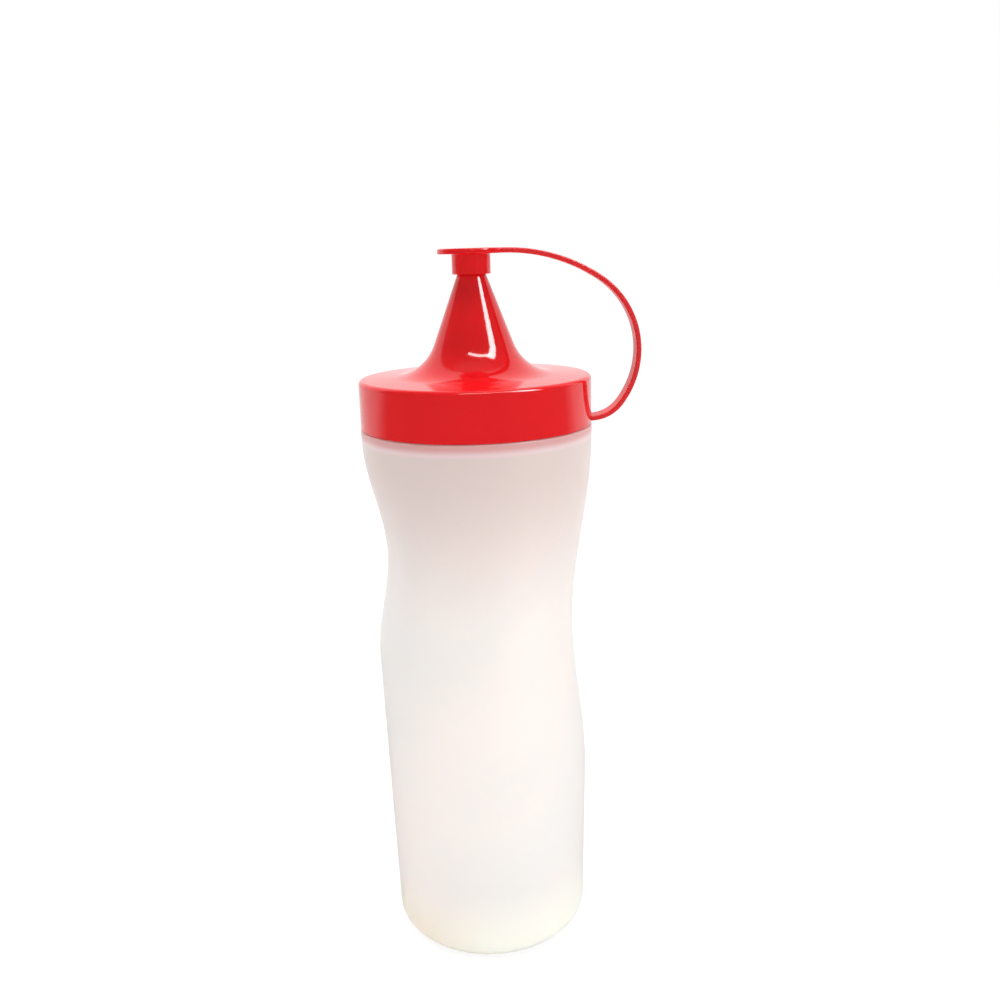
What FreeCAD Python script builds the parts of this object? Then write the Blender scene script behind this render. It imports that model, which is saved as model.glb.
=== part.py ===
import FreeCAD, Part
import math
import os
import Sketcher

# Sauce squeeze bottle: a blown bottle with a shallow grip pressed into each of its sides,
# and a one-piece moulded lid whose tip cap hangs on a flat strap.
#
# Millimetres, +Z up.  The origin is on the bottle's axis, in the plane that it stands on.
# +X points to the strap.  The lid is drawn from its own lower edge, and then lifted on to the neck.

# ---------------------------------------------------------------------------------------------
# Sizes.  Each row is a name, its value and what it is.  Lengths in mm, angles in degrees.

SIZES = (
    # bottle
    ("base_radius", 31.2, "side wall where it would meet the floor"),
    ("shoulder_ledge", 0.1, "how far the side wall at the shoulder stands out past the lid's skirt"),
    ("shoulder_height", 166.4, "floor to the flat of the shoulder"),
    ("shoulder_edge", 2.2, "rounding of the shoulder's outer edge"),
    ("heel_radius", 5.0, "rounding where the side turns into the base"),
    ("ring_width", 5.0, "width of the flat ring that the bottle stands on"),
    ("push_up", 2.5, "how far the middle of the base is raised"),
    ("wall", 1.2, "wall of the bottle"),
    ("neck_wall", 1.6, "wall of the neck"),
    # grips
    ("left_grip_height", 128.5, "floor to the middle of the left grip"),
    ("left_grip_reach", 35.0, "middle of the left grip to its upper and lower ends"),
    ("left_grip_depth", 5.0, "how deep the left grip is pressed in"),
    ("left_grip_facing", -85.0, "direction of the left grip, in degrees from the front"),
    ("left_grip_full", 20.0, "degrees each way over which the left grip is at full depth"),
    ("left_grip_edge", 58.0, "degrees each way at which the left grip has died out"),
    ("right_grip_height", 106.3, "floor to the middle of the right grip"),
    ("right_grip_reach", 55.4, "middle of the right grip to its upper and lower ends"),
    ("right_grip_depth", 5.1, "how deep the right grip is pressed in"),
    ("right_grip_facing", 80.0, "direction of the right grip, in degrees from the front"),
    ("right_grip_full", 20.0, "degrees each way over which the right grip is at full depth"),
    ("right_grip_edge", 73.0, "degrees each way at which the right grip has died out"),
    # lid
    ("lid_gap", 0.8, "shoulder to the lid's lower edge"),
    ("lid_radius", 35.0, "outside of the lid's skirt"),
    ("skirt_wall", 1.6, "wall of the skirt"),
    ("skirt_height", 14.4, "lower edge of the skirt to its upper edge"),
    ("skirt_edge", 1.3, "rounding of the skirt's upper edge"),
    ("thread_room", 1.6, "inside of the skirt to the outside of the neck"),
    ("roof_wall", 1.6, "thickness of the lid's top"),
    ("roof_rise", 1.0, "how far the top climbs from its edge to the nozzle's foot"),
    # nozzle
    ("foot_radius", 15.2, "nozzle's cone where it would meet the lid's top"),
    ("foot_fillet", 14.0, "hollow curve between the lid's top and the nozzle"),
    ("nozzle_height", 48.6, "lower edge of the skirt to the nozzle's tip"),
    ("tip_radius", 2.6, "outside of the nozzle's tip"),
    ("nozzle_wall", 1.4, "wall of the nozzle"),
    ("bore_fillet", 7.0, "hollow curve where the nozzle's bore starts"),
    ("outlet_radius", 1.2, "hole in the nozzle's tip"),
    ("outlet_length", 4.2, "length of the hole in the nozzle's tip"),
    # tip cap
    ("cap_hub_radius", 5.7, "outside of the cap's hub"),
    ("cap_hub_height", 5.8, "lower edge of the hub to the under side of the disc"),
    ("cap_disc_radius", 9.9, "edge of the cap's disc"),
    ("cap_disc_wall", 1.6, "thickness of the cap's disc"),
    ("cap_roof_wall", 2.8, "cap's top above its socket"),
    ("cap_clearance", 0.3, "between the cap's socket and the nozzle"),
    # strap
    ("strap_width", 7.0, "width of the strap"),
    ("strap_wall", 1.6, "thickness of the strap"),
    ("strap_reach", 14.2, "skirt to the middle of the strap where it is widest"),
    ("strap_waist", 21.0, "lower edge of the skirt to where the strap is widest"),
    ("strap_crown_bend", 1.272, "bend radius beside the cap, as a share of the run out from there"),
    ("strap_side_bend", 1.287, "bend radius below the widest place, as a share of the drop from there"),
)


class Size:
    """A length known both as a number and as the spreadsheet expression that gives it."""

    def __init__(self, value, text):
        self.value = value
        self.text = text

    def __add__(self, other):
        return self.combined("+", other, self.value + plain(other))

    def __sub__(self, other):
        return self.combined("-", other, self.value - plain(other))

    def __mul__(self, other):
        return self.combined("*", other, self.value * plain(other))

    def __truediv__(self, other):
        return self.combined("/", other, self.value / plain(other))

    def combined(self, sign, other, value):
        other_text = other.text if isinstance(other, Size) else str(other)
        return Size(value, "(%s %s %s)" % (self.text, sign, other_text))


def plain(length):
    """The number behind a Size, or the number itself."""
    return length.value if isinstance(length, Size) else length


doc = FreeCAD.newDocument("squeeze_bottle")
sheet = doc.addObject("Spreadsheet::Sheet", "sizes")
size = {}
for row, (name, value, meaning) in enumerate(SIZES, start=1):
    sheet.set("A%d" % row, name)
    sheet.set("B%d" % row, str(value))
    sheet.setAlias("B%d" % row, name)
    sheet.set("C%d" % row, meaning)
    size[name] = Size(value, "sizes." + name)
doc.recompute()

ORIGIN_POINT = (-1, 1)
X_AXIS = -1
Y_AXIS = -2


# ---------------------------------------------------------------------------------------------
# Helpers for sketches and features

def vector(x, y):
    """A point of a sketch, from plain numbers or Sizes."""
    return FreeCAD.Vector(plain(x), plain(y), 0)


def new_body(label):
    """A new empty PartDesign body."""
    body = doc.addObject("PartDesign::Body", label)
    body.Label = label
    return body


def sketch_on(body, plane, name):
    """A sketch on one of the body's own origin planes, such as XZ_Plane."""
    sketch = body.newObject("Sketcher::SketchObject", name)
    origin_plane = [feature for feature in body.Origin.OriginFeatures if feature.Role == plane][0]
    sketch.AttachmentSupport = [(origin_plane, "")]
    sketch.MapMode = "FlatFace"
    return sketch


def dimension(sketch, kind, references, length):
    """A dimension of a sketch that follows the spreadsheet."""
    index = sketch.addConstraint(Sketcher.Constraint(kind, *references, length.value))
    sketch.setExpression("Constraints[%d]" % index, length.text)


def place_point(sketch, geometry, end, x, y):
    """Fix one end of a sketch element at (x, y), each a Size, or 0 for on that axis."""
    if isinstance(x, Size):
        dimension(sketch, "DistanceX", (*ORIGIN_POINT, geometry, end), x)
    else:
        sketch.addConstraint(Sketcher.Constraint("PointOnObject", geometry, end, Y_AXIS))
    if isinstance(y, Size):
        dimension(sketch, "DistanceY", (*ORIGIN_POINT, geometry, end), y)
    else:
        sketch.addConstraint(Sketcher.Constraint("PointOnObject", geometry, end, X_AXIS))


def draw_outline(sketch, corners):
    """A closed outline of straight lines through the corners."""
    count = len(corners)
    for index, corner in enumerate(corners):
        following = corners[(index + 1) % count]
        sketch.addGeometry(Part.LineSegment(vector(*corner), vector(*following)), False)
    for index, corner in enumerate(corners):
        sketch.addConstraint(Sketcher.Constraint("Coincident", index, 2, (index + 1) % count, 1))
        place_point(sketch, index, 1, *corner)


def revolve(body, sketch, name):
    """Turn a sketch all the way round its upright axis."""
    doc.recompute()
    turned = body.newObject("PartDesign::Revolution", name)
    turned.Profile = sketch
    turned.ReferenceAxis = (sketch, ["V_Axis"])
    turned.Angle = 360
    doc.recompute()
    return turned


def rings(feature, radius, height):
    """Names of the round edges about the axis that have this radius at this height."""
    names = []
    for number, edge in enumerate(feature.Shape.Edges, start=1):
        if not isinstance(edge.Curve, Part.Circle):
            continue
        middle = edge.Curve.Center
        off_axis = math.hypot(middle.x, middle.y) > 0.001
        if off_axis or abs(edge.Curve.Radius - plain(radius)) > 0.01:
            continue
        if abs(middle.z - plain(height)) < 0.01:
            names.append("Edge%d" % number)
    return names


def round_ring(body, feature, name, ring, radius):
    """Round the edge at ring, a radius and a height."""
    rounded = body.newObject("PartDesign::Fillet", name)
    rounded.Base = (feature, rings(feature, *ring))
    rounded.Radius = plain(radius)
    rounded.setExpression("Radius", radius.text)
    doc.recompute()
    return rounded


# ---------------------------------------------------------------------------------------------
# Bottle.  Its outside and its inside are each a skin laid over rings, with a turned neck on top.

RING_POINTS = 36
HEEL_RINGS = 7
SIDE_RINGS = 18
SHOULDER_RINGS = 5

lid_bottom = size["shoulder_height"] + size["lid_gap"]
roof_under = size["skirt_height"] - size["roof_wall"]
neck_top = lid_bottom + roof_under
shoulder_radius = size["lid_radius"] + size["shoulder_ledge"]
neck_radius = size["lid_radius"] - size["skirt_wall"] - size["thread_room"]
side_slope = math.atan2(
    shoulder_radius.value - size["base_radius"].value, size["shoulder_height"].value)


def side_radius(height):
    """The side wall's radius at a height, before the grips are pressed in."""
    return size["base_radius"].value + math.tan(side_slope) * height


def fade(distance, full, edge):
    """1 within full, 0 from edge on, and a smooth S between them."""
    part = min(max((edge - distance) / (edge - full), 0), 1)
    return part * part * (3 - 2 * part)


def pressed_in(angle, height):
    """How deep the grips are at an angle from the front and a height."""
    depth = 0
    for side in ("left", "right"):
        grip = {name: size["%s_grip_%s" % (side, name)].value
                for name in ("height", "reach", "depth", "facing", "full", "edge")}
        along = min(abs(height - grip["height"]) / grip["reach"], 1)
        around = abs((angle - grip["facing"] + 180) % 360 - 180)
        hollow = math.cos(math.pi / 2 * along) ** 2
        depth += grip["depth"] * hollow * fade(around, grip["full"], grip["edge"])
    return depth


def bend(radius, centre_radius, centre_height, start, end, count):
    """Rings round a bend, each a radius and a height, from one angle to another in radians."""
    found = []
    for index in range(count + 1):
        turn = start + (end - start) * index / count
        found.append((centre_radius + radius * math.cos(turn), centre_height + radius * math.sin(turn)))
    return found


def wall_rings(shrink):
    """Radius and height of every ring, from the standing ring to the flat of the shoulder."""
    heel = size["heel_radius"].value - shrink
    shoulder = size["shoulder_edge"].value - shrink
    heel_height = shrink + heel
    shoulder_centre = size["shoulder_height"].value - shrink - shoulder
    heel_centre_radius = side_radius(heel_height) - shrink - heel / math.cos(side_slope)
    shoulder_centre_radius = side_radius(shoulder_centre) - shrink - shoulder / math.cos(side_slope)
    down, outward, up = -math.pi / 2, -side_slope, math.pi / 2
    lower = bend(heel, heel_centre_radius, heel_height, down, outward, HEEL_RINGS)
    upper = bend(shoulder, shoulder_centre_radius, shoulder_centre, outward, up, SHOULDER_RINGS)
    start, end = lower[-1][1], upper[0][1]
    middle = []
    for index in range(1, SIDE_RINGS):
        height = start + (end - start) * index / SIDE_RINGS
        middle.append((side_radius(height) - shrink, height))
    return lower + middle + upper


def ring_wire(radius, height):
    """A closed smooth curve round the bottle at a height, with the grips pressed in."""
    points = []
    for index in range(RING_POINTS):
        angle = 360 * index / RING_POINTS - 180
        reach = radius - pressed_in(angle, height)
        turn = math.radians(angle)
        points.append(FreeCAD.Vector(reach * math.sin(turn), -reach * math.cos(turn), height))
    curve = Part.BSplineCurve()
    steps = [2 * math.pi * index / RING_POINTS for index in range(RING_POINTS + 1)]
    curve.interpolate(Points=points, PeriodicFlag=True, Parameters=steps)
    return Part.Wire([curve.toShape()])


def wall_skin(label, shrink):
    """The solid inside a skin that is laid over all the rings."""
    skin = doc.addObject("Part::Feature", label)
    skin.Shape = Part.makeLoft([ring_wire(*ring) for ring in wall_rings(shrink)], True, False)
    return skin


def primitive(kind, label, base, **lengths):
    """A Part primitive on the bottle's axis, at a height, with lengths that follow the sheet."""
    made = doc.addObject("Part::" + kind, label)
    for name, length in lengths.items():
        setattr(made, name, plain(length))
        if isinstance(length, Size):
            made.setExpression(name, length.text)
    if isinstance(base, Size):
        made.Placement = FreeCAD.Placement(FreeCAD.Vector(0, 0, base.value), FreeCAD.Rotation())
        made.setExpression("Placement.Base.z", base.text)
    return made


def combine(kind, label, base, tool):
    """One Part boolean of two objects."""
    made = doc.addObject("Part::" + kind, label)
    made.Base = base
    made.Tool = tool
    return made


neck_foot = size["shoulder_height"] - size["heel_radius"]
push_up_radius = size["base_radius"] - size["heel_radius"] - size["ring_width"]

outside = combine(
    "Fuse", "outside",
    wall_skin("outside_skin", 0),
    primitive("Cylinder", "neck", neck_foot, Radius=neck_radius, Height=neck_top - neck_foot))
outside_raised = combine(
    "Cut", "outside_raised", outside,
    primitive("Cone", "push_up", 0, Radius1=push_up_radius, Radius2=0, Height=size["push_up"]))
inside = combine(
    "Fuse", "inside",
    wall_skin("inside_skin", size["wall"].value),
    primitive("Cylinder", "mouth", neck_foot, Radius=neck_radius - size["neck_wall"],
              Height=neck_top + size["wall"] - neck_foot))
inside_raised = combine(
    "Cut", "inside_raised", inside,
    primitive("Cone", "push_up_inside", size["wall"], Radius1=push_up_radius, Radius2=0,
              Height=size["push_up"]))
bottle = combine("Cut", "bottle", outside_raised, inside_raised)
doc.recompute()


# ---------------------------------------------------------------------------------------------
# Lid: skirt, top and nozzle in one turned shell, then the strap, then the tip cap

lid = new_body("lid")
cap_top = size["nozzle_height"] + size["cap_clearance"] + size["cap_roof_wall"]
cap_under = cap_top - size["cap_disc_wall"]
hub_bottom = cap_under - size["cap_hub_height"]
roof_foot = size["skirt_height"] + size["roof_rise"]
cone_run = size["foot_radius"] - size["tip_radius"]
cone_climb = size["nozzle_height"] - roof_foot
cone_slope = cone_run / cone_climb


def cone_radius(height):
    """Outside of the nozzle's cone at a height above the skirt's lower edge."""
    return size["tip_radius"] + cone_slope * (size["nozzle_height"] - height)


def lid_shell():
    """The skirt, the top and the nozzle, open below and at the tip."""
    skirt_inside = size["lid_radius"] - size["skirt_wall"]
    throat = size["nozzle_height"] - size["outlet_length"]
    throat_radius = cone_radius(throat) - size["nozzle_wall"]
    bore_foot = cone_radius(roof_under) - size["nozzle_wall"]
    sketch = sketch_on(lid, "XZ_Plane", "lid_profile")
    draw_outline(sketch, (
        (skirt_inside, 0),
        (size["lid_radius"], 0),
        (size["lid_radius"], size["skirt_height"]),
        (size["foot_radius"], roof_foot),
        (size["tip_radius"], size["nozzle_height"]),
        (size["outlet_radius"], size["nozzle_height"]),
        (size["outlet_radius"], throat),
        (throat_radius, throat),
        (bore_foot, roof_under),
        (skirt_inside, roof_under),
    ))
    turned = revolve(lid, sketch, "lid_turned")
    foot = round_ring(lid, turned, "nozzle_foot", (size["foot_radius"], roof_foot), size["foot_fillet"])
    bore = round_ring(lid, foot, "bore_start", (bore_foot, roof_under), size["bore_fillet"])
    rim = (size["lid_radius"], size["skirt_height"])
    return round_ring(lid, bore, "skirt_top", rim, size["skirt_edge"])


def two_bends(across, along, first_radius):
    """The second radius of a quarter turn made of two arcs: it starts along the first axis with
    first_radius, and ends across units over and along units on, at right angles."""
    return (2 * across * first_radius - along ** 2 - across ** 2) / (2 * (first_radius - along))


def strap_path(sketch):
    """The strap's middle line: level from the cap, over and down the side, and back to the skirt."""
    middle = cap_top - size["strap_wall"] / 2
    root = size["strap_wall"] / 2
    start_x = size["cap_hub_radius"]
    crown_x = size["cap_disc_radius"]
    wide_x = size["lid_radius"] + size["strap_reach"]
    end_x = size["lid_radius"] - size["skirt_wall"] / 2
    foot_x = size["lid_radius"]
    wide_z = size["strap_waist"]
    crown_bend = (wide_x - crown_x) * size["strap_crown_bend"]
    side_bend = (wide_z - root) * size["strap_side_bend"]

    crown_radius = crown_bend.value
    upper_run = wide_x.value - crown_x.value
    upper_drop = middle.value - wide_z.value
    upper_radius = two_bends(upper_drop, upper_run, crown_radius)
    side_radius = side_bend.value
    lower_run = wide_x.value - foot_x.value
    lower_drop = wide_z.value - root.value
    lower_radius = two_bends(lower_run, lower_drop, side_radius)

    normal = FreeCAD.Vector(0, 0, 1)

    def arc(x, y, radius, start, end):
        return Part.ArcOfCircle(Part.Circle(FreeCAD.Vector(x, y, 0), normal, radius), start, end)

    upper_centre = (wide_x.value - upper_radius, wide_z.value)
    crown_centre = (crown_x.value, middle.value - crown_radius)
    crown_turn = math.atan2(upper_centre[1] - crown_centre[1], upper_centre[0] - crown_centre[0])
    side_centre = (wide_x.value - side_radius, wide_z.value)
    lower_centre = (foot_x.value, root.value + lower_radius)
    side_turn = math.atan2(lower_centre[1] - side_centre[1], lower_centre[0] - side_centre[0])
    elements = (
        Part.LineSegment(vector(start_x, middle), vector(crown_x, middle)),
        arc(*crown_centre, crown_radius, crown_turn, math.pi / 2),
        arc(*upper_centre, upper_radius, 0, crown_turn),
        arc(*side_centre, side_radius, side_turn, 0),
        arc(*lower_centre, lower_radius, -math.pi / 2, side_turn),
        Part.LineSegment(vector(foot_x, root), vector(end_x, root)),
    )
    for element in elements:
        sketch.addGeometry(element, False)
    cap_line, crown, upper, side, lower, root_line = range(6)

    # 1 is an element's start, 2 its end, 3 its centre; an arc starts at its smaller angle
    for joint in ((cap_line, 2, crown, 2), (crown, 1, upper, 2), (upper, 1, side, 2),
                  (side, 1, lower, 2), (lower, 1, root_line, 1)):
        sketch.addConstraint(Sketcher.Constraint("Tangent", *joint))
    sketch.addConstraint(Sketcher.Constraint("Horizontal", cap_line))
    sketch.addConstraint(Sketcher.Constraint("Horizontal", root_line))
    sketch.addConstraint(Sketcher.Constraint("Horizontal", upper, 3, upper, 1))
    place_point(sketch, cap_line, 1, start_x, middle)
    dimension(sketch, "DistanceX", (*ORIGIN_POINT, cap_line, 2), crown_x)
    place_point(sketch, upper, 1, wide_x, wide_z)
    place_point(sketch, root_line, 1, foot_x, root)
    dimension(sketch, "DistanceX", (*ORIGIN_POINT, root_line, 2), end_x)
    dimension(sketch, "Radius", (crown,), crown_bend)
    dimension(sketch, "Radius", (side,), side_bend)
    return start_x, middle


def strap():
    """The flat strap, swept along its path."""
    path = sketch_on(lid, "XZ_Plane", "strap_path")
    start_x, middle = strap_path(path)
    section = sketch_on(lid, "YZ_Plane", "strap_section")
    section.AttachmentOffset = FreeCAD.Placement(FreeCAD.Vector(0, 0, start_x.value), FreeCAD.Rotation())
    section.setExpression("AttachmentOffset.Base.z", start_x.text)
    half = plain(size["strap_width"]) / 2
    low = middle - size["strap_wall"] / 2
    high = middle + size["strap_wall"] / 2
    corners = [(-half, low.value), (half, low.value), (half, high.value), (-half, high.value)]
    for index, corner in enumerate(corners):
        following = corners[(index + 1) % 4]
        section.addGeometry(Part.LineSegment(vector(*corner), vector(*following)), False)
    for index in range(4):
        section.addConstraint(Sketcher.Constraint("Coincident", index, 2, (index + 1) % 4, 1))
    section.addConstraint(Sketcher.Constraint("Symmetric", 0, 1, 0, 2, Y_AXIS))
    section.addConstraint(Sketcher.Constraint("Vertical", 1))
    section.addConstraint(Sketcher.Constraint("Horizontal", 2))
    section.addConstraint(Sketcher.Constraint("Vertical", 3))
    dimension(section, "DistanceX", (0, 1, 0, 2), size["strap_width"])
    dimension(section, "DistanceY", (1, 1, 1, 2), size["strap_wall"])
    dimension(section, "DistanceY", (*ORIGIN_POINT, 0, 1), low)
    doc.recompute()
    pipe = lid.newObject("PartDesign::AdditivePipe", "strap")
    pipe.Profile = section
    pipe.Spine = path
    doc.recompute()
    return pipe


def tip_cap():
    """The cap's disc and hub, with a socket that sits over the nozzle's tip."""
    socket_top = size["nozzle_height"] + size["cap_clearance"]
    sketch = sketch_on(lid, "XZ_Plane", "cap_profile")
    draw_outline(sketch, (
        (0, socket_top),
        (cone_radius(size["nozzle_height"]) + size["cap_clearance"], socket_top),
        (cone_radius(hub_bottom) + size["cap_clearance"], hub_bottom),
        (size["cap_hub_radius"], hub_bottom),
        (size["cap_hub_radius"], cap_under),
        (size["cap_disc_radius"], cap_under),
        (size["cap_disc_radius"], cap_top),
        (0, cap_top),
    ))
    return revolve(lid, sketch, "tip_cap")


lid_shell()
strap()
tip_cap()
lid.Placement = FreeCAD.Placement(FreeCAD.Vector(0, 0, lid_bottom.value), FreeCAD.Rotation())
lid.setExpression("Placement.Base.z", lid_bottom.text)
doc.recompute()


# ---------------------------------------------------------------------------------------------
# Check every object, then write each piece

for item in doc.Objects:
    if "Invalid" in item.State or "Error" in item.State:
        raise RuntimeError("%s did not build: %s" % (item.Label, item.State))

os.makedirs("parts", exist_ok=True)
for piece in (bottle, lid):
    shape = piece.Shape
    if shape.isNull() or not shape.isValid() or len(shape.Solids) != 1:
        raise RuntimeError("%s is not one sound solid" % piece.Label)
    shape.exportStep("parts/%s.step" % piece.Label)
    box = shape.optimalBoundingBox()
    print("%-8s %8.1f cm3   x %6.1f %6.1f   y %6.1f %6.1f   z %6.1f %6.1f" % (
        piece.Label, shape.Volume / 1000, box.XMin, box.XMax, box.YMin, box.YMax, box.ZMin, box.ZMax))
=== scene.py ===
# %% [markdown]
# A squeeze bottle for sauce.
#
# The real thing is two mouldings. The bottle is blown from natural polyethylene, which looks
# milky, and has a shallow hollow for the hand pressed into each side. The lid is moulded in one
# go from red polypropylene: the screw collar, the tall nozzle, the cap for its tip and the flat
# strap that keeps the cap from getting lost.
#
# The solids come from the CAD frame. They are right in size but plain in finish, so this script
# makes finer skins of the same sizes, with softened edges, and gives them their plastics.

# %% Load the frame
import math

import bmesh
import bpy
from mathutils import Matrix, Vector


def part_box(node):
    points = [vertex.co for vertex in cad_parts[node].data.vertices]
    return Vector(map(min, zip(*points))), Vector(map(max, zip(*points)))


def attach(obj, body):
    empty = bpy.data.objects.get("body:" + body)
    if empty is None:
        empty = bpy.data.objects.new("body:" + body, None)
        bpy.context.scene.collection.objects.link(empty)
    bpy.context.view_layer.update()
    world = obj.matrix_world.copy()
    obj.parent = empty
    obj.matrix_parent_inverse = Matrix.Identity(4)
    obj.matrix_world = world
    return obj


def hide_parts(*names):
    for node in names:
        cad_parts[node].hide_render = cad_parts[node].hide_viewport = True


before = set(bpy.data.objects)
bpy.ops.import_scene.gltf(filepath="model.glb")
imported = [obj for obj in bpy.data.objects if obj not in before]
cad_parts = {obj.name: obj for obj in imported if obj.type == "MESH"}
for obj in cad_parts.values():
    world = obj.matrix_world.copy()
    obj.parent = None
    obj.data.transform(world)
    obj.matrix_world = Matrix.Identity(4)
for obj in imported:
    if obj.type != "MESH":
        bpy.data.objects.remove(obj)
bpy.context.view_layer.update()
bottle_low, bottle_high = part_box("bottle")
lid_low, lid_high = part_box("lid")
print("bottle", bottle_low, bottle_high)
print("lid", lid_low, lid_high)

# %% [markdown]
# Sizes. A drawing of a bottle is in millimetres and Blender works in metres, so one number, MM,
# stands between them. What both mouldings share is read from the frame: where the lid's lower
# edge is, how high the rim of the neck stands, and how wide the lid is. The rest follows from that.

# %% Sizes in millimetres
MM = 0.001
LID_BOTTOM = lid_low[2] / MM
NECK_TOP = bottle_high[2] / MM
CAP_TOP = lid_high[2] / MM
LID_RADIUS = -lid_low[0] / MM
LID_GAP = 0.8          # from the shoulder up to the collar, as the solids have it
SHOULDER_LEDGE = 0.08  # how far the side wall stands out past the collar
SHOULDER_HEIGHT = LID_BOTTOM - LID_GAP
SHOULDER_RADIUS = LID_RADIUS + SHOULDER_LEDGE
BASE_RADIUS = 31.2
WALL = 1.2
NECK_INSET = 3.2       # from the collar's outside in to the neck
NECK_RADIUS = LID_RADIUS - NECK_INSET
NECK_WALL = 1.6
print("lid bottom %.1f  neck top %.1f  cap top %.1f" % (LID_BOTTOM, NECK_TOP, CAP_TOP))

# %% [markdown]
# Both mouldings are turned shapes at heart. A turned shape is one outline, swung round the axis.
# Moulded plastic has no sharp corners, because a sharp corner in a mould wears out and leaves a
# weak spot in the part. So the outline is written as its few corners, each with the radius that
# it is rounded by, and a helper puts in the arcs.

# %% An outline with rounded corners
def rounded_outline(corners, arc_steps=8, longest=2.5):
    """Points of an outline through (radius from the axis, height, corner rounding) in mm. An arc
    has arc_steps pieces, and no straight piece is longer than longest."""
    outline = []
    last = len(corners) - 1
    for index, (across, height, rounding) in enumerate(corners):
        here = Vector((across, height))
        if rounding == 0 or index in (0, last):
            outline.append(here)
            continue
        before = (Vector(corners[index - 1][:2]) - here).normalized()
        after = (Vector(corners[index + 1][:2]) - here).normalized()
        half = before.angle(after) / 2
        centre = here + (before + after).normalized() * (rounding / math.sin(half))
        start = here + before * (rounding / math.tan(half)) - centre
        end = here + after * (rounding / math.tan(half)) - centre
        turn = start.angle_signed(end)
        for step in range(arc_steps + 1):
            outline.append(centre + Matrix.Rotation(-turn * step / arc_steps, 2) @ start)
    filled = [outline[0]]
    for point in outline[1:]:
        start = filled[-1]
        pieces = max(1, math.ceil((point - start).length / longest))
        for step in range(1, pieces + 1):
            filled.append(start.lerp(point, step / pieces))
    return filled


# %% Swing an outline round the upright axis
def turned(name, outline, segments=192):
    """A closed mesh object. An outline that starts and ends on the axis is closed there, and any
    other outline joins up with its own start, as the section of a ring."""
    on_axis_within = 1e-6
    on_axis = all(abs(end.x) < on_axis_within for end in (outline[0], outline[-1]))
    shape = bmesh.new()
    rows = []
    for point in outline:
        if abs(point.x) < on_axis_within:
            rows.append([shape.verts.new((0, 0, point.y * MM))])
            continue
        row = []
        for index in range(segments):
            turn = 2 * math.pi * index / segments
            across, aside = point.x * math.cos(turn), point.x * math.sin(turn)
            row.append(shape.verts.new((across * MM, aside * MM, point.y * MM)))
        rows.append(row)
    pairs = list(zip(rows, rows[1:]))
    if not on_axis:
        pairs.append((rows[-1], rows[0]))
    for lower, upper in pairs:
        for index in range(segments):
            following = (index + 1) % segments
            corners = [lower[index % len(lower)], lower[following % len(lower)],
                       upper[following % len(upper)], upper[index % len(upper)]]
            distinct = list(dict.fromkeys(corners))
            if len(distinct) > 2:
                shape.faces.new(distinct)
    bmesh.ops.recalc_face_normals(shape, faces=shape.faces)
    if shape.calc_volume(signed=True) < 0:
        bmesh.ops.reverse_faces(shape, faces=shape.faces)
    for face in shape.faces:
        face.smooth = True
    mesh = bpy.data.meshes.new(name)
    shape.to_mesh(mesh)
    shape.free()
    made = bpy.data.objects.new(name, mesh)
    bpy.context.scene.collection.objects.link(made)
    return made


# %% [markdown]
# Materials are built from nodes. One small function adds a node and sets it up, and another
# turns a colour as a designer writes it, such as #D8171C, into the linear numbers that light
# is worked out with.

# %% Helpers for materials
def linear(colour):
    """Linear red, green, blue and 1, from an sRGB colour written as six hex digits."""
    channels = [int(colour[start:start + 2], 16) / 255 for start in (1, 3, 5)]
    return tuple(c / 12.92 if c <= 0.04045 else ((c + 0.055) / 1.055) ** 2.4 for c in channels) + (1,)


def add_node(tree, kind, settings=None, inputs=None, **links):
    """Add a node. settings are its own properties, inputs its sockets' values by name or number,
    and links name a socket, with _ for a space, and the output that feeds it."""
    node = tree.nodes.new(kind)
    for name, value in (settings or {}).items():
        setattr(node, name, value)
    for name, value in (inputs or {}).items():
        node.inputs[name].default_value = value
    for name, output in links.items():
        socket = int(name[1:]) if name[0] == "_" else name.replace("_", " ")
        tree.links.new(output, node.inputs[socket])
    return node


def new_material(name):
    """An empty node material with its tree."""
    material = bpy.data.materials.new(name)
    material.use_nodes = True
    material.node_tree.nodes.clear()
    return material, material.node_tree


# %% [markdown]
# The bottle is natural low-density polyethylene, blown in a polished mould. Without pigment it
# is not clear but milky, because its crystals scatter the light inside the wall. That is what
# subsurface scattering draws: light goes in, wanders a millimetre or two, and comes out soft.
# The skin is satin, slightly uneven where the soft plastic touched the cooler mould.
#
# Light and shade are painted into this colour, which follows the height: painted light makes the heel
# lighter, the middle is plain, painted shade makes it duller towards the lid that keeps the light out,
# a painted highlight runs as a light line under the lid, and above it painted red light turns it pink.

# %% Natural polyethylene, blown
PEACH, PALE_YELLOW = "#FFEDDC", "#FFFBED"
WARM_MILK, GREY_MILK = "#F1E7E2", "#E8E4E1"
BEIGE, PALE_PINK, ROSE = "#D8C8C3", "#E2CBCC", "#D3A09E"


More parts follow.
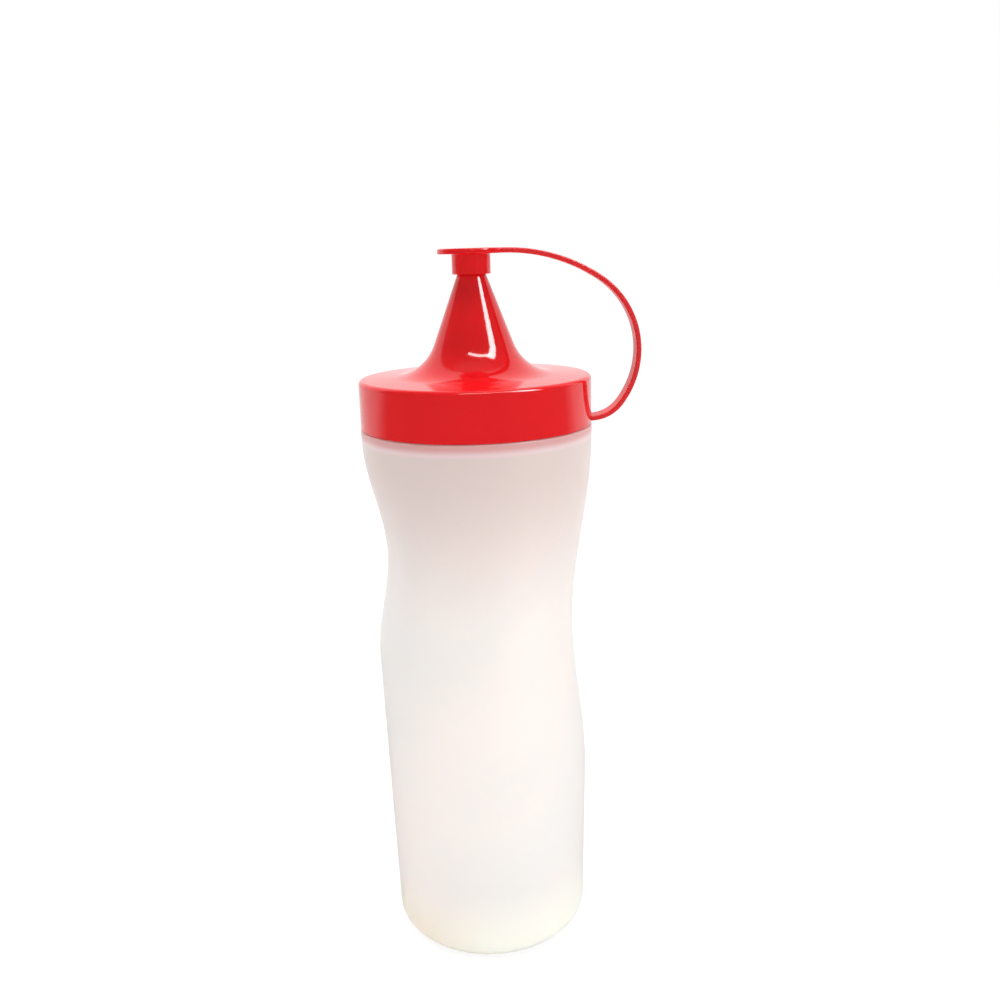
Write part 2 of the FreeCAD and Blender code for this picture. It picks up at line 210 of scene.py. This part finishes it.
def natural_polyethylene():
    material, tree = new_material("natural_polyethylene_blown")
    place = add_node(tree, "ShaderNodeTexCoord").outputs["Object"]
    # clouds about 80 mm long that lean to the right, of warmer and greyer tone
    leaning = add_node(tree, "ShaderNodeMapping", {"vector_type": "TEXTURE"},
                       {"Rotation": (0, math.radians(-45), 0), "Scale": (2.2, 1.0, 1.0)}, Vector=place)
    clouds = add_node(tree, "ShaderNodeTexNoise", inputs={"Scale": 28.0, "Detail": 1.0},
                      Vector=leaning.outputs["Vector"])
    spread = add_node(tree, "ShaderNodeMapRange", inputs={"From Min": 0.35, "From Max": 0.65},
                      Value=clouds.outputs["Fac"]).outputs["Result"]
    plain = add_node(tree, "ShaderNodeMix", {"data_type": "RGBA"},
                     {"A": linear(WARM_MILK), "B": linear(GREY_MILK)}, Factor=spread).outputs["Result"]
    across, _, height = add_node(tree, "ShaderNodeSeparateXYZ", Vector=place).outputs

    def blend(below, above, low, high, measure=height):
        """Go from one colour to another over a stretch, from low to high in mm."""
        stretch = add_node(tree, "ShaderNodeMapRange", {"interpolation_type": "SMOOTHSTEP"},
                           {"From Min": low * MM, "From Max": high * MM}, Value=measure)
        mixed = add_node(tree, "ShaderNodeMix", {"data_type": "RGBA"}, Factor=stretch.outputs["Result"])
        for socket, colour in ((mixed.inputs["A"], below), (mixed.inputs["B"], above)):
            if isinstance(colour, str):
                socket.default_value = linear(colour)
            else:
                tree.links.new(colour, socket)
        return mixed.outputs["Result"]

    # painted light: the heel is painted lighter than the middle, as light from the white table below; it
    # is peach on one side and pale yellow on the other
    heel = blend(PEACH, PALE_YELLOW, -22, 2, across)
    # painted light fades out going up from the base
    warm = blend(heel, plain, -2, 26)
    # painted shade: the lid's shade is painted in, reaching about 60 mm down from the shoulder
    shaded = blend(warm, BEIGE, SHOULDER_HEIGHT - 60.4, SHOULDER_HEIGHT - 3.4)
    # painted highlight: a light line is painted below the pink band
    line = blend(shaded, PALE_PINK, SHOULDER_HEIGHT - 3.5, SHOULDER_HEIGHT - 2.7)
    # painted red light: right under the lid the wall is painted rose, for the red light and shade of the
    # lid
    tint = blend(line, ROSE, SHOULDER_HEIGHT - 2.6, SHOULDER_HEIGHT - 0.6)
    # the mould's skin: a fine unevenness about 2 mm across
    skin = add_node(tree, "ShaderNodeTexNoise", inputs={"Scale": 500.0, "Detail": 2.0}, Vector=place)
    bump = add_node(tree, "ShaderNodeBump", inputs={"Strength": 0.04, "Distance": 0.0002},
                    Height=skin.outputs["Fac"])
    satin = add_node(tree, "ShaderNodeMapRange", inputs={"To Min": 0.34, "To Max": 0.46},
                     Value=clouds.outputs["Fac"])
    plastic = add_node(
        tree, "ShaderNodeBsdfPrincipled",
        inputs={"IOR": 1.51, "Subsurface Weight": 0.7, "Subsurface Radius": (1.0, 0.85, 0.75),
                "Subsurface Scale": 0.0015},
        Base_Color=tint, Roughness=satin.outputs["Result"], Normal=bump.outputs["Normal"])
    add_node(tree, "ShaderNodeOutputMaterial", Surface=plastic.outputs["BSDF"])
    return material


milky = natural_polyethylene()
print(milky.name, "has", len(milky.node_tree.nodes), "nodes")

# %% [markdown]
# The lid is polypropylene coloured right through with a warm red pigment and moulded against
# polished steel. It is much glossier than the bottle, but not like lacquer: the surface pulls in
# a little as it cools, so reflections on it have soft edges. The strap has a satin finish, so no
# bright line runs along the whole of it.

# %% Red polypropylene, moulded
LIGHT_RED, DEEP_RED = "#D8171C", "#D01419"


def red_polypropylene(name, smoothest, roughest):
    """The red plastic with a finish whose roughness wanders from smoothest to roughest."""
    material, tree = new_material(name)
    place = add_node(tree, "ShaderNodeTexCoord").outputs["Object"]
    # slow changes of pigment, about 20 mm long
    clouds = add_node(tree, "ShaderNodeTexNoise", inputs={"Scale": 50.0, "Detail": 2.0}, Vector=place)
    tint = add_node(tree, "ShaderNodeMix", {"data_type": "RGBA"},
                    {"A": linear(LIGHT_RED), "B": linear(DEEP_RED)}, Factor=clouds.outputs["Fac"])
    gloss = add_node(tree, "ShaderNodeMapRange", inputs={"To Min": smoothest, "To Max": roughest},
                     Value=clouds.outputs["Fac"])
    # ripples about 5 mm apart, where the plastic shrank from the steel
    ripples = add_node(tree, "ShaderNodeTexNoise", inputs={"Scale": 200.0, "Detail": 1.0}, Vector=place)
    bump = add_node(tree, "ShaderNodeBump", inputs={"Strength": 0.03, "Distance": 0.0005},
                    Height=ripples.outputs["Fac"])
    plastic = add_node(tree, "ShaderNodeBsdfPrincipled", inputs={"IOR": 1.49},
                       Base_Color=tint.outputs["Result"], Roughness=gloss.outputs["Result"],
                       Normal=bump.outputs["Normal"])
    add_node(tree, "ShaderNodeOutputMaterial", Surface=plastic.outputs["BSDF"])
    return material


red = red_polypropylene("red_polypropylene_polished", 0.07, 0.12)
red_satin = red_polypropylene("red_polypropylene_satin", 0.32, 0.4)
print(red.name, "and", red_satin.name, "have", len(red.node_tree.nodes), "nodes each")

# %% [markdown]
# The bottle starts as a round one. Its outline runs from the middle of the raised base, out over
# the ring that it stands on, up the side, over the shoulder and up the neck, and then back down
# inside. It could be modelled as a skin and thickened, but the neck's wall is thicker than the
# side's, and one closed outline holds both. The shoulder comes up close under the collar, so that
# no dark slit shows between them.

# %% The round bottle
raised = 2.5
ring_inside = 21.2
ring_rounding = 3.0
heel_rounding = 5.0
shoulder_rounding = 0.7
shoulder_slit = 0.04
rim_rounding = 0.3
shoulder_top = LID_BOTTOM - shoulder_slit
shoulder_under = SHOULDER_HEIGHT - WALL
neck_inside = NECK_RADIUS - NECK_WALL
bottle_outline = rounded_outline([
    (0, raised, 0),
    (ring_inside, 0, ring_rounding),
    (BASE_RADIUS, 0, heel_rounding),
    (SHOULDER_RADIUS, shoulder_top, shoulder_rounding),
    (NECK_RADIUS, shoulder_top, 0.4),
    (NECK_RADIUS, NECK_TOP, rim_rounding),
    (neck_inside, NECK_TOP, rim_rounding),
    (neck_inside, shoulder_under, 0.8),
    (SHOULDER_RADIUS - WALL, shoulder_under, 1.0),
    (BASE_RADIUS - WALL, WALL, heel_rounding - WALL),
    (ring_inside, WALL, ring_rounding),
    (0, raised + WALL, 0),
])
round_bottle = turned("bottle_wall", bottle_outline)
print("round bottle", len(round_bottle.data.polygons), "faces")

# %% [markdown]
# A grip is a hollow that follows a rule. Up and down it is one wave of a cosine, deepest in the
# middle. Round the bottle it keeps its full depth over the part that the hand covers, and then
# fades out in an S. Geometry Nodes can say exactly that: for each point work out its direction
# and height, multiply the two shapes, and move the point towards the axis. The same tree serves
# both grips, which differ only in their numbers: the left one is short and high, the right one
# long and low.

# %% Geometry Nodes that press in a grip
def press_tree():
    tree = bpy.data.node_groups.new("press_grip", "GeometryNodeTree")
    face = tree.interface
    face.new_socket("Geometry", in_out="INPUT", socket_type="NodeSocketGeometry")
    for name in ("Height", "Reach", "Depth", "Facing", "Full", "Edge"):
        face.new_socket(name, in_out="INPUT", socket_type="NodeSocketFloat")
    face.new_socket("Plastic", in_out="INPUT", socket_type="NodeSocketMaterial")
    face.new_socket("Geometry", in_out="OUTPUT", socket_type="NodeSocketGeometry")
    group = add_node(tree, "NodeGroupInput").outputs

    def calculate(operation, first, second=None, third=None):
        node = add_node(tree, "ShaderNodeMath", {"operation": operation})
        for index, value in enumerate((first, second, third)):
            if isinstance(value, (int, float)):
                node.inputs[index].default_value = value
            elif value is not None:
                tree.links.new(value, node.inputs[index])
        return node.outputs["Value"]

    position = add_node(tree, "GeometryNodeInputPosition").outputs["Position"]
    parts = add_node(tree, "ShaderNodeSeparateXYZ", Vector=position).outputs
    towards_front = calculate("MULTIPLY", parts["Y"], -1)
    direction = calculate("DEGREES", calculate("ARCTAN2", parts["X"], towards_front))
    height = calculate("DIVIDE", parts["Z"], MM)
    away = calculate("ABSOLUTE", calculate("SUBTRACT", height, group["Height"]))
    along = calculate("MINIMUM", calculate("DIVIDE", away, group["Reach"]), 1)
    wave = calculate("COSINE", calculate("MULTIPLY", along, math.pi / 2))
    turn = calculate("WRAP", calculate("SUBTRACT", direction, group["Facing"]), 180, -180)
    around = calculate("ABSOLUTE", turn)
    smooth, straight = (
        add_node(tree, "ShaderNodeMapRange", {"interpolation_type": way}, {"To Min": 1.0, "To Max": 0.0},
                 Value=around, From_Min=group["Full"], From_Max=group["Edge"]).outputs["Result"]
        for way in ("SMOOTHSTEP", "LINEAR"))
    # a little of the straight ramp leaves a faint crease where the hollow begins
    fade = add_node(tree, "ShaderNodeMix", inputs={"Factor": 0.3}, A=smooth, B=straight).outputs["Result"]
    hollow = calculate("MULTIPLY", calculate("MULTIPLY", wave, wave), fade)
    depth = calculate("MULTIPLY", calculate("MULTIPLY", hollow, group["Depth"]), -MM)
    flat = add_node(tree, "ShaderNodeCombineXYZ", X=parts["X"], Y=parts["Y"]).outputs["Vector"]
    outwards = add_node(tree, "ShaderNodeVectorMath", {"operation": "NORMALIZE"}, _0=flat)
    offset = add_node(tree, "ShaderNodeVectorMath", {"operation": "SCALE"},
                      _0=outwards.outputs["Vector"], Scale=depth)
    moved = add_node(tree, "GeometryNodeSetPosition", Geometry=group["Geometry"],
                     Offset=offset.outputs["Vector"])
    single = add_node(tree, "GeometryNodeRealizeInstances", Geometry=moved.outputs["Geometry"])
    dressed = add_node(tree, "GeometryNodeSetMaterial", Geometry=single.outputs["Geometry"],
                       Material=group["Plastic"])
    add_node(tree, "NodeGroupOutput", Geometry=dressed.outputs["Geometry"])
    return tree


# %% Helpers that set a modifier up and apply it
def add_modifier(piece, tree, **values):
    """Add the tree to the piece. Each socket is set by its identifier, found from its name."""
    modifier = piece.modifiers.new(tree.name, "NODES")
    modifier.node_group = tree
    for item in tree.interface.items_tree:
        if item.item_type == "SOCKET" and item.in_out == "INPUT" and item.name in values:
            modifier[item.identifier] = values[item.name]


def apply_modifiers(piece):
    """Turn what the modifiers give into the piece's own plain mesh, and take them off."""
    evaluated = piece.evaluated_get(bpy.context.evaluated_depsgraph_get())
    mesh = bpy.data.meshes.new_from_object(evaluated)
    mesh.name = piece.name
    piece.modifiers.clear()
    if piece.type == "MESH":
        piece.data = mesh
        return piece
    name = piece.name
    bpy.data.objects.remove(piece)
    made = bpy.data.objects.new(name, mesh)
    bpy.context.scene.collection.objects.link(made)
    return made


# %% Press both grips in
# Height, Reach and Depth are in mm. Facing, Full and Edge are in degrees round from the front.
left_grip = {"Height": 128.5, "Reach": 35.0, "Depth": 5.0, "Facing": -85.0, "Full": 20.0, "Edge": 58.0}
right_grip = {"Height": 106.3, "Reach": 55.4, "Depth": 5.1, "Facing": 80.0, "Full": 20.0, "Edge": 73.0}
pressing = press_tree()
for grip in (left_grip, right_grip):
    add_modifier(round_bottle, pressing, Plastic=milky, **grip)
bottle_wall = apply_modifiers(round_bottle)
print("bottle wall", [round(length / MM, 1) for length in bottle_wall.dimensions], "mm")

# %% [markdown]
# The collar, the lid's top and the nozzle are one turned wall. The big hollow curve between the
# top and the nozzle lets the sauce flow, and lets the moulding leave its tool. Inside, the same
# wall follows at a steady thickness, because thick places sink as they cool.

# %% Collar, top and nozzle
skirt_height = 14.4
skirt_wall = 1.6
roof_under = NECK_TOP - LID_BOTTOM
roof_foot = 15.4
nozzle_height = 48.6
tip_radius = 2.6
foot_radius = 15.2
nozzle_wall = 1.4
outlet_radius = 1.2
outlet_length = 4.2
soft_edge = 0.3
cone_slope = (foot_radius - tip_radius) / (nozzle_height - roof_foot)


def cone_radius(height):
    """Outside of the nozzle at a height above the lid's lower edge."""
    return tip_radius + cone_slope * (nozzle_height - height)


def raised_to_lid(corners):
    """Corners drawn from the lid's lower edge, at their height on the bottle."""
    return [(across, height + LID_BOTTOM, rounding) for across, height, rounding in corners]


throat = nozzle_height - outlet_length
collar_inside = LID_RADIUS - skirt_wall
lid_corners = raised_to_lid([
    (collar_inside + 0.8, 0, 0),
    (LID_RADIUS, 0, 0.2),
    (LID_RADIUS, skirt_height, 1.3),
    (foot_radius, roof_foot, 14.0),
    (tip_radius, nozzle_height, soft_edge),
    (outlet_radius, nozzle_height, 0.2),
    (outlet_radius, throat, 0.2),
    (cone_radius(throat) - nozzle_wall, throat, soft_edge),
    (cone_radius(roof_under) - nozzle_wall, roof_under, 7.0),
    (collar_inside, roof_under, soft_edge),
    (collar_inside, 0, soft_edge),
    (collar_inside + 0.7, 0, 0),
])
lid_shell = turned("lid_shell", rounded_outline(lid_corners, arc_steps=12))
lid_shell.data.materials.append(red)
print("lid shell", len(lid_shell.data.polygons), "faces")

# %% [markdown]
# The tip cap is a small turned plug: a thin disc to flick up with a thumb, on a hub with a
# tapered socket that fits over the nozzle's tip.

# %% Tip cap
cap_top = CAP_TOP - LID_BOTTOM
cap_disc_wall = 1.6
cap_disc_radius = 9.9
cap_hub_radius = 5.7
cap_hub_height = 5.8
clearance = 0.3
disc_bottom = cap_top - cap_disc_wall
hub_bottom = disc_bottom - cap_hub_height
socket_top = nozzle_height + clearance
cap_corners = raised_to_lid([
    (0, socket_top, 0),
    (tip_radius + clearance, socket_top, 0.2),
    (cone_radius(hub_bottom) + clearance, hub_bottom, 0.2),
    (cap_hub_radius, hub_bottom, soft_edge),
    (cap_hub_radius, disc_bottom, 0.4),
    (cap_disc_radius, disc_bottom, 0.4),
    (cap_disc_radius, cap_top, 0.6),
    (0, cap_top, 0),
])
tip_cap = turned("tip_cap", rounded_outline(cap_corners, longest=1.0), segments=96)
tip_cap.data.materials.append(red)
print("tip cap", len(tip_cap.data.polygons), "faces")

# %% [markdown]
# The strap is a flat ribbon that leaves the cap level, bends over, and comes back to the foot of
# the collar. Its path is four arcs that flow into each other, two down to the widest place and
# two back in. Each pair is a quarter turn, so its first radius is chosen and its second follows.
# Geometry Nodes then carry a small rounded rectangle, its section, along the path.

# %% The strap's path
strap_width = 7.0
strap_wall = 1.6
strap_ease = 0.05    # how far each flat side stays inside the cap's disc, so that no two faces meet
strap_rounding = 0.45
strap_reach = 14.2   # from the collar out to the widest place
strap_wide_z = 21.0  # the widest place's height above the lid's lower edge
crown_bend = 1.272   # the first radius of the way out, as a share of that way's width
side_bend = 1.287    # the first radius of the way back, as a share of that way's height


def second_radius(across, along, first):
    """The second radius of a quarter turn of two arcs, across by along, that starts with first."""
    return (2 * across * first - along ** 2 - across ** 2) / (2 * (first - along))


def arc_points(centre_x, centre_z, radius, start, end, count):
    """Points of an arc in the strap's plane, angles in radians."""
    points = []
    for step in range(count + 1):
        turn = start + (end - start) * step / count
        points.append(Vector((centre_x + radius * math.cos(turn), centre_z + radius * math.sin(turn))))
    return points


strap_wide_x = LID_RADIUS + strap_reach
middle_z = cap_top - strap_wall / 2
root_z = strap_wall / 2
crown_radius = crown_bend * (strap_wide_x - cap_disc_radius)
side_radius = side_bend * (strap_wide_z - root_z)
upper_radius = second_radius(middle_z - strap_wide_z, strap_wide_x - cap_disc_radius, crown_radius)
lower_radius = second_radius(strap_wide_x - LID_RADIUS, strap_wide_z - root_z, side_radius)
crown_z = middle_z - crown_radius
lower_z = root_z + lower_radius
upper_x = strap_wide_x - upper_radius
side_x = strap_wide_x - side_radius
crown_turn = math.atan2(strap_wide_z - crown_z, upper_x - cap_disc_radius)
side_turn = math.atan2(lower_z - strap_wide_z, LID_RADIUS - side_x)
strap_arcs = (
    # centre across, centre up, radius, first angle, last angle, pieces
    (cap_disc_radius, crown_z, crown_radius, math.pi / 2, crown_turn, 24),
    (upper_x, strap_wide_z, upper_radius, crown_turn, 0, 32),
    (side_x, strap_wide_z, side_radius, 0, side_turn, 16),
    (LID_RADIUS, lower_z, lower_radius, side_turn, -math.pi / 2, 16),
)
strap_points = [Vector((cap_hub_radius, middle_z))] + arc_points(*strap_arcs[0])
for arc in strap_arcs[1:]:
    strap_points += arc_points(*arc)[1:]
strap_points.append(Vector((LID_RADIUS - skirt_wall / 2, root_z)))
print("strap", len(strap_points), "points")


# %% Geometry Nodes that lay a flat strap along a path
def strap_tree():
    tree = bpy.data.node_groups.new("flat_strap", "GeometryNodeTree")
    face = tree.interface
    face.new_socket("Geometry", in_out="INPUT", socket_type="NodeSocketGeometry")
    for name in ("Width", "Thickness", "Rounding"):
        face.new_socket(name, in_out="INPUT", socket_type="NodeSocketFloat")
    face.new_socket("Plastic", in_out="INPUT", socket_type="NodeSocketMaterial")
    face.new_socket("Geometry", in_out="OUTPUT", socket_type="NodeSocketGeometry")
    group = add_node(tree, "NodeGroupInput").outputs
    section = add_node(tree, "GeometryNodeCurvePrimitiveQuadrilateral",
                       Width=group["Width"], Height=group["Thickness"])
    soft = add_node(tree, "GeometryNodeFilletCurve", {"mode": "POLY"}, {"Count": 5},
                    Curve=section.outputs["Curve"], Radius=group["Rounding"])
    ribbon = add_node(tree, "GeometryNodeCurveToMesh", inputs={"Fill Caps": True},
                      Curve=group["Geometry"], Profile_Curve=soft.outputs["Curve"])
    smooth = add_node(tree, "GeometryNodeSetShadeSmooth", Geometry=ribbon.outputs["Mesh"])
    single = add_node(tree, "GeometryNodeRealizeInstances", Geometry=smooth.outputs["Geometry"])
    dressed = add_node(tree, "GeometryNodeSetMaterial", Geometry=single.outputs["Geometry"],
                       Material=group["Plastic"])
    add_node(tree, "NodeGroupOutput", Geometry=dressed.outputs["Geometry"])
    return tree


# %% The strap
path = bpy.data.curves.new("strap", "CURVE")
path.dimensions = "3D"
spline = path.splines.new("POLY")
spline.points.add(len(strap_points) - 1)
for slot, point in zip(spline.points, strap_points):
    slot.co = (point.x * MM, 0, (point.y + LID_BOTTOM) * MM, 1)
strap = bpy.data.objects.new("strap", path)
bpy.context.scene.collection.objects.link(strap)
add_modifier(strap, strap_tree(), Width=strap_width * MM, Thickness=(strap_wall - 2 * strap_ease) * MM,
             Rounding=strap_rounding * MM, Plastic=red_satin)
strap = apply_modifiers(strap)
print("strap", [round(length / MM, 1) for length in strap.dimensions], "mm")

# %% [markdown]
# Smooth shading bends the light on a flat face towards the small rounding beside it. Weighted
# normals let the large faces win, so flats look flat and only the roundings turn the light.

# %% Weighted normals
lid_pieces = (lid_shell, tip_cap, strap)
for piece in (bottle_wall, *lid_pieces):
    weighted = piece.modifiers.new("weighted_normals", "WEIGHTED_NORMAL")
    weighted.weight = 50
    apply_modifiers(piece)

# %% [markdown]
# Each finer piece now takes the place of its CAD solid. Nothing moves, so every piece rides on
# the one body that there is.

# %% Put the pieces in the frame
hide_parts("bottle")
for piece in lid_pieces:
    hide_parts("lid")
for piece in (bottle_wall, *lid_pieces):
    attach(piece, "root")

# %% [markdown]
# The bottle is shown on a white table against white. The floor is pale and matt, but to the
# camera it also glows white. Beside the bottle four fifths of it is glow, which leaves a soft
# shadow, and from 40 cm away all of it, so that no horizon shows. In a reflection it is dim in
# front of the bottle and bright behind, like the room.

# %% Floor
DIM_SIDE = 0.2
BRIGHT_SIDE = 1.0
FLOOR_REACH = 4.0
NEAR, FAR = 0.1, 0.4  # metres from the bottle between which the floor's looks change


def pale_floor():
    material, tree = new_material("pale_floor")
    rays = add_node(tree, "ShaderNodeLightPath").outputs
    place = add_node(tree, "ShaderNodeTexCoord").outputs["Object"]
    backwards = add_node(tree, "ShaderNodeSeparateXYZ", Vector=place).outputs["Y"]
    matt = add_node(tree, "ShaderNodeBsdfDiffuse", inputs={"Color": linear("#F4F4F4")})
    white = add_node(tree, "ShaderNodeEmission", inputs={"Strength": 1.08})
    room = add_node(tree, "ShaderNodeMapRange",
                    inputs={"From Min": NEAR, "From Max": FAR, "To Min": DIM_SIDE, "To Max": BRIGHT_SIDE},
                    Value=backwards)
    mirrored = add_node(tree, "ShaderNodeEmission", Strength=room.outputs["Result"])
    away = add_node(tree, "ShaderNodeVectorMath", {"operation": "LENGTH"}, _0=place).outputs["Value"]
    whiteness = add_node(tree, "ShaderNodeMapRange",
                         inputs={"From Min": NEAR, "From Max": FAR, "To Min": 0.8, "To Max": 1.0},
                         Value=away)
    share = add_node(tree, "ShaderNodeMath", {"operation": "MULTIPLY"},
                     _0=rays["Is Camera Ray"], _1=whiteness.outputs["Result"])
    seen = add_node(tree, "ShaderNodeMixShader", Fac=share.outputs["Value"],
                    _1=matt.outputs["BSDF"], _2=white.outputs["Emission"])
    mixed = add_node(tree, "ShaderNodeMixShader", Fac=rays["Is Glossy Ray"],
                     _1=seen.outputs["Shader"], _2=mirrored.outputs["Emission"])
    add_node(tree, "ShaderNodeOutputMaterial", Surface=mixed.outputs["Shader"])
    return material


floor_mesh = bpy.data.meshes.new("floor")
floor_corners = [(x * FLOOR_REACH, y * FLOOR_REACH, 0) for x, y in ((-1, -1), (1, -1), (1, 1), (-1, 1))]
floor_mesh.from_pydata(floor_corners, [], [(0, 1, 2, 3)])
floor_mesh.materials.append(pale_floor())
floor = bpy.data.objects.new("floor", floor_mesh)
bpy.context.scene.collection.objects.link(floor)
print("floor", 2 * FLOOR_REACH, "m wide")

# %% [markdown]
# The room is bright behind the bottle and dimmer in front, as it is when a thing stands before a
# white sweep. Glossy plastic shows it: its middle mirrors the dim side, and its edges, which look
# backwards, mirror the white.

# %% World
world = bpy.data.worlds.new("room")
bpy.context.scene.world = world
world.use_nodes = True
tree = world.node_tree
tree.nodes.clear()
ray = add_node(tree, "ShaderNodeTexCoord").outputs["Generated"]
backwards = add_node(tree, "ShaderNodeSeparateXYZ", Vector=ray).outputs["Y"]
level = add_node(tree, "ShaderNodeMapRange", {"interpolation_type": "SMOOTHSTEP"},
                 {"From Min": 0.24, "From Max": 0.32, "To Min": DIM_SIDE, "To Max": BRIGHT_SIDE},
                 Value=backwards)
seen = add_node(tree, "ShaderNodeLightPath").outputs["Is Camera Ray"]
strength = add_node(tree, "ShaderNodeMath", {"operation": "MAXIMUM"}, _0=level.outputs["Result"], _1=seen)
glow = add_node(tree, "ShaderNodeBackground", inputs={"Color": (1, 1, 1, 1)},
                Strength=strength.outputs["Value"])
add_node(tree, "ShaderNodeOutputWorld", Surface=glow.outputs["Background"])

# %% [markdown]
# Two kinds of lamp share the work, because what draws a crisp highlight and what lights a milky
# wall evenly are not the same lamp. Two narrow strips are seen only in glossy plastic: together
# they draw the bright hook on the nozzle. The other six are seen in no reflection and only fill
# the shade, more from the right than from the left.

# %% Lamps
def soft_box(name, place, aim, width, height, watts):
    """A rectangular lamp that points from place to aim."""
    lamp = bpy.data.lights.new(name, "AREA")
    lamp.shape = "RECTANGLE"
    lamp.size = width
    lamp.size_y = height
    lamp.energy = watts
    made = bpy.data.objects.new(name, lamp)
    made.location = place
    made.rotation_euler = (Vector(aim) - Vector(place)).to_track_quat("-Z", "Y").to_euler()
    bpy.context.scene.collection.objects.link(made)
    return made


nozzle_middle = (0, 0, 0.19)
highlights = (
    soft_box("tall_strip", (0.515, -0.297, 0.725), nozzle_middle, 0.22, 0.42, 6.0),
    soft_box("cross_strip", (0.142, -0.436, 0.845), nozzle_middle, 0.7, 0.08, 3.2),
)
for lamp in highlights:
    lamp.visible_diffuse = False
fills = (
    soft_box("front_fill", (-0.6, -1.2, 0.9), (0, 0, 0.1), 1.2, 1.2, 1.5),
    soft_box("low_bounce", (-0.04, -0.3, 0.012), (0, 0, 0.03), 0.3, 0.02, 0.18),
    soft_box("top_fill", (0, 0.1, 1.4), (0, 0, 0.2), 1.0, 1.0, 22.0),
    soft_box("key_fill", (0.9, -0.9, 0.5), (0, 0, 0.1), 0.8, 0.8, 4.3),
    soft_box("right_fill", (1.2, 0.1, 0.25), (0, 0, 0.07), 0.8, 0.6, 2.8),
    soft_box("left_fill", (-1.2, 0.2, 0.2), (0, 0, 0.05), 0.8, 0.5, 2.8),
)
for lamp in fills:
    lamp.visible_glossy = False
print(len(highlights), "highlights and", len(fills), "fills")

# %% [markdown]
# The camera stands close, level with the tip cap, and looks down at the bottle. A close camera
# makes the lid look larger than the base. Its three angles are set with a matrix, so that the
# slight roll is easy to read.

# %% Camera
camera_place = (0, -0.2939, 0.21743)
camera_data = bpy.data.cameras.new("camera")
camera_data.lens = 35.0
camera_data.sensor_width = 36.0
camera = bpy.data.objects.new("camera", camera_data)
bpy.context.scene.collection.objects.link(camera)
pitch, yaw, roll = math.radians(14.28), math.radians(1.27), math.radians(-1.63)
forward = Vector((math.sin(yaw) * math.cos(pitch), math.cos(yaw) * math.cos(pitch), -math.sin(pitch)))
level_right = Vector((math.cos(yaw), -math.sin(yaw), 0))
level_up = level_right.cross(forward)
right = level_right * math.cos(roll) + level_up * math.sin(roll)
up = -level_right * math.sin(roll) + level_up * math.cos(roll)
turn = Matrix((right, up, -forward)).transposed()
camera.matrix_world = Matrix.Translation(camera_place) @ turn.to_4x4()
bpy.context.scene.camera = camera
bpy.context.scene.view_settings.view_transform = "Standard"
print("camera with a", camera_data.lens, "mm lens at", camera_place)
